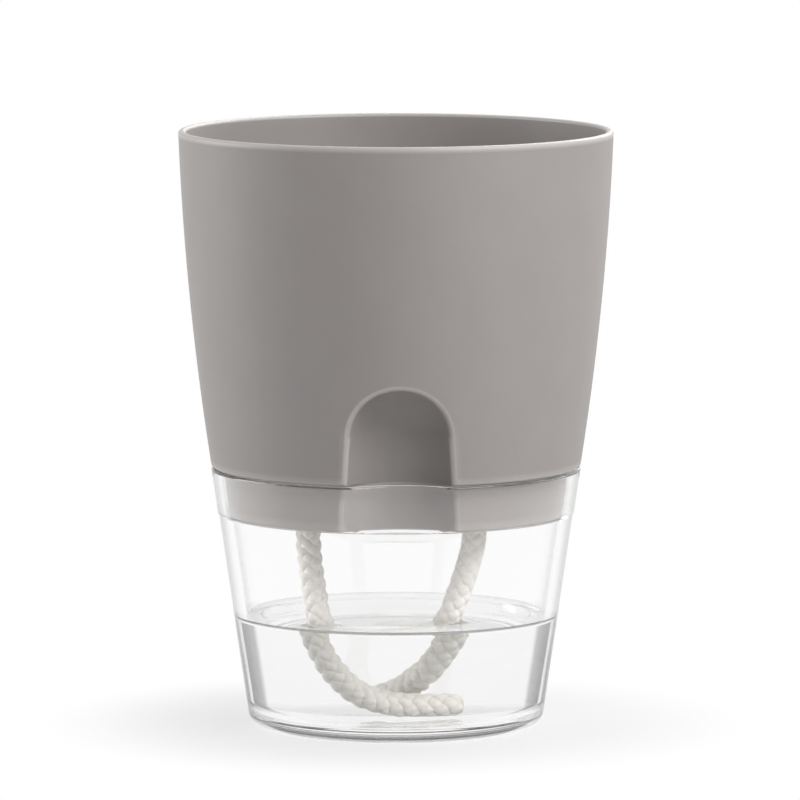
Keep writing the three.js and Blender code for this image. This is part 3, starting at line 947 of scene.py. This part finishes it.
def makeWater(liquid):
    bm = bmesh.new()
    floorTop = reservoir["kickUp"] + reservoir["floor"] - water["intoWall"]
    inset = reservoir["wall"] - water["intoWall"]
    edgeRadius = sideRadius(water["level"]) - inset

    def surfaceZ(x, y):
        rise = water["wallRise"] * math.exp((math.hypot(x, y) - edgeRadius) / water["riseLength"])
        for sx, sy in water["strands"]:
            gap = max(0, math.hypot(x - sx, y - sy) - wick["diameter"] / 2)
            rise += water["strandRise"] * math.exp(-gap / water["riseLength"])
        return water["level"] + rise

    lipFoot = water["level"]
    brightFoot = lipFoot - water["brightLine"]
    outline = roundedOutline([
        (0, floorTop, 0), (sideRadius(floorTop) - inset, floorTop, reservoir["innerRound"]),
        (sideRadius(brightFoot) - inset, brightFoot, 0)])
    outline += [(edgeRadius, lipFoot), (edgeRadius, lipFoot + water["wallRise"] / 2)]
    rows = [arcPoints(0, 0, z, r, 0, 2 * math.pi, water["around"]) for r, z in outline]
    for s in steps(water["across"]):
        r = edgeRadius * (1 - s ** water["bunching"])
        level = arcPoints(0, 0, 0, r, 0, 2 * math.pi, water["around"])
        rows.append([(x, y, surfaceZ(x, y)) for x, y, _ in level])
    addRows(bm, rows)
    piece = finishMoulding(bm, "water_fill", liquid, "reservoir", water["sharpDegrees"])
    lip = piece.data.attributes.new("lip", "FLOAT", "POINT")
    for vert, mark in zip(piece.data.vertices, lip.data):
        inward = edgeRadius - vert.co.xy.length / mm
        height = vert.co.z / mm - lipFoot
        if inward < water["edgeWidth"] and height > slop:
            mark.value = 1
        elif inward < water["riseLength"] and height > slop:
            mark.value = water["slopeMark"]
        elif abs(height) <= slop and inward < water["footWidth"]:
            mark.value = water["footMark"]


# Studio: a white floor and white air, a key lamp at the right, a low one at the left and one behind
studio = {
    "air": 0.22,
    "floorColour": "#CFCFCF",
    "floorSize": 6000,
    "floorGap": 0.02,    # keeps the foot's flat off the floor's
    "nearGlow": 0.72,    # share of plain white in the floor by the object, where its shadow shows
    "clearGlow": 0.9,    # the same, as seen through clear plastic
    "paintedShadowWhite": 0.89,   # how bright that white is there, dimmed as a painted shadow round the object
    "near": 44,          # from the middle, up to where the shadow, real and painted, shows in full
    "far": 110,
    "lampSize": 800,
    "lampDistance": 1100,
    "lampAim": 90,       # height that the lamps point at
    # Name, degrees round from the front and up, and watts
    "lamps": (("keyLamp", 50, 40, 12.8), ("leftLamp", -100, 15, 8.8), ("backLamp", 150, 40, 8.2)),
}


# Light Path's outputs, and whether a ray comes from the eye, straight or through a gloss or a window
def seenRays(tree):
    path = addNode(tree, "ShaderNodeLightPath").outputs
    shown = addNode(tree, "ShaderNodeMath", {
        0: path["Is Camera Ray"], 1: path["Is Glossy Ray"]}, operation="MAXIMUM")
    seen = addNode(tree, "ShaderNodeMath", {0: shown, 1: path["Is Transmission Ray"]}, operation="MAXIMUM")
    return path, seen.outputs[0]


def makeStudio():
    world = bpy.data.worlds.new("studio")
    scene.world = world
    world.use_nodes = True
    tree = world.node_tree
    tree.nodes.clear()
    _, seen = seenRays(tree)
    level = addNode(tree, "ShaderNodeMapRange", {"Value": seen, 3: studio["air"], 4: 1})
    air = addNode(tree, "ShaderNodeBackground", {"Color": (1, 1, 1, 1), "Strength": level})
    addNode(tree, "ShaderNodeOutputWorld", {"Surface": air})

    material, tree = newMaterial("whitePaper")
    path, seen = seenRays(tree)
    where = addNode(tree, "ShaderNodeTexCoord").outputs["Object"]
    away = addNode(tree, "ShaderNodeVectorMath", {0: where}, operation="LENGTH")
    glow = addNode(tree, "ShaderNodeMapRange", {
        "Value": path["Is Transmission Ray"], 3: studio["nearGlow"], 4: studio["clearGlow"]})
    fade = addNode(tree, "ShaderNodeMapRange", {
        "Value": away.outputs["Value"], 1: studio["near"] * mm, 2: studio["far"] * mm},
        interpolation_type="SMOOTHSTEP")
    plain = addNode(tree, "ShaderNodeMapRange", {"Value": fade, 3: glow, 4: 1})
    share = addNode(tree, "ShaderNodeMath", {0: seen, 1: plain}, operation="MULTIPLY")
    # Near the object the white glows less: a painted shadow round it
    paintedShadowGlow = addNode(tree, "ShaderNodeMapRange", {"Value": fade, 3: studio["paintedShadowWhite"], 4: 1})
    paper = addNode(tree, "ShaderNodeBsdfDiffuse", {"Color": linearColour(studio["floorColour"])})
    white = addNode(tree, "ShaderNodeEmission", {"Color": (1, 1, 1, 1), "Strength": paintedShadowGlow})
    both = addNode(tree, "ShaderNodeMixShader", {0: share, 1: paper, 2: white})
    addNode(tree, "ShaderNodeOutputMaterial", {"Surface": both})
    reach = studio["floorSize"] / 2 * mm
    corners = [(x * reach, y * reach, 0) for x, y in ((-1, -1), (1, -1), (1, 1), (-1, 1))]
    mesh = bpy.data.meshes.new("floor")
    mesh.from_pydata(corners, [], [(0, 1, 2, 3)])
    mesh.materials.append(material)
    floor = addObject("floor", mesh)
    floor.location.z = -studio["floorGap"] * mm

    middle = Vector((0, 0, studio["lampAim"])) * mm
    for name, azimuth, rise, power in studio["lamps"]:
        lamp = addObject(name, bpy.data.lights.new(name, "AREA"))
        lamp.data.size = studio["lampSize"] * mm
        lamp.data.energy = power
        lamp.visible_transmission = False    # clear plastic shows the white room, not the lamps
        a, e = math.radians(azimuth), math.radians(rise)
        way = Vector((math.sin(a) * math.cos(e), -math.cos(a) * math.cos(e), math.sin(e)))
        lamp.location = middle + way * studio["lampDistance"] * mm
        lamp.rotation_euler = (-way).to_track_quat("-Z", "Y").to_euler()
    print("studio lit")


makeCamera()
makeWick(undyedCotton())
makePot(mouldedPolypropylene())
makeReservoir(clearStyrene())
makeWater(stillWater(water["footMark"]))
makeStudio()

bpy.context.view_layer.update()
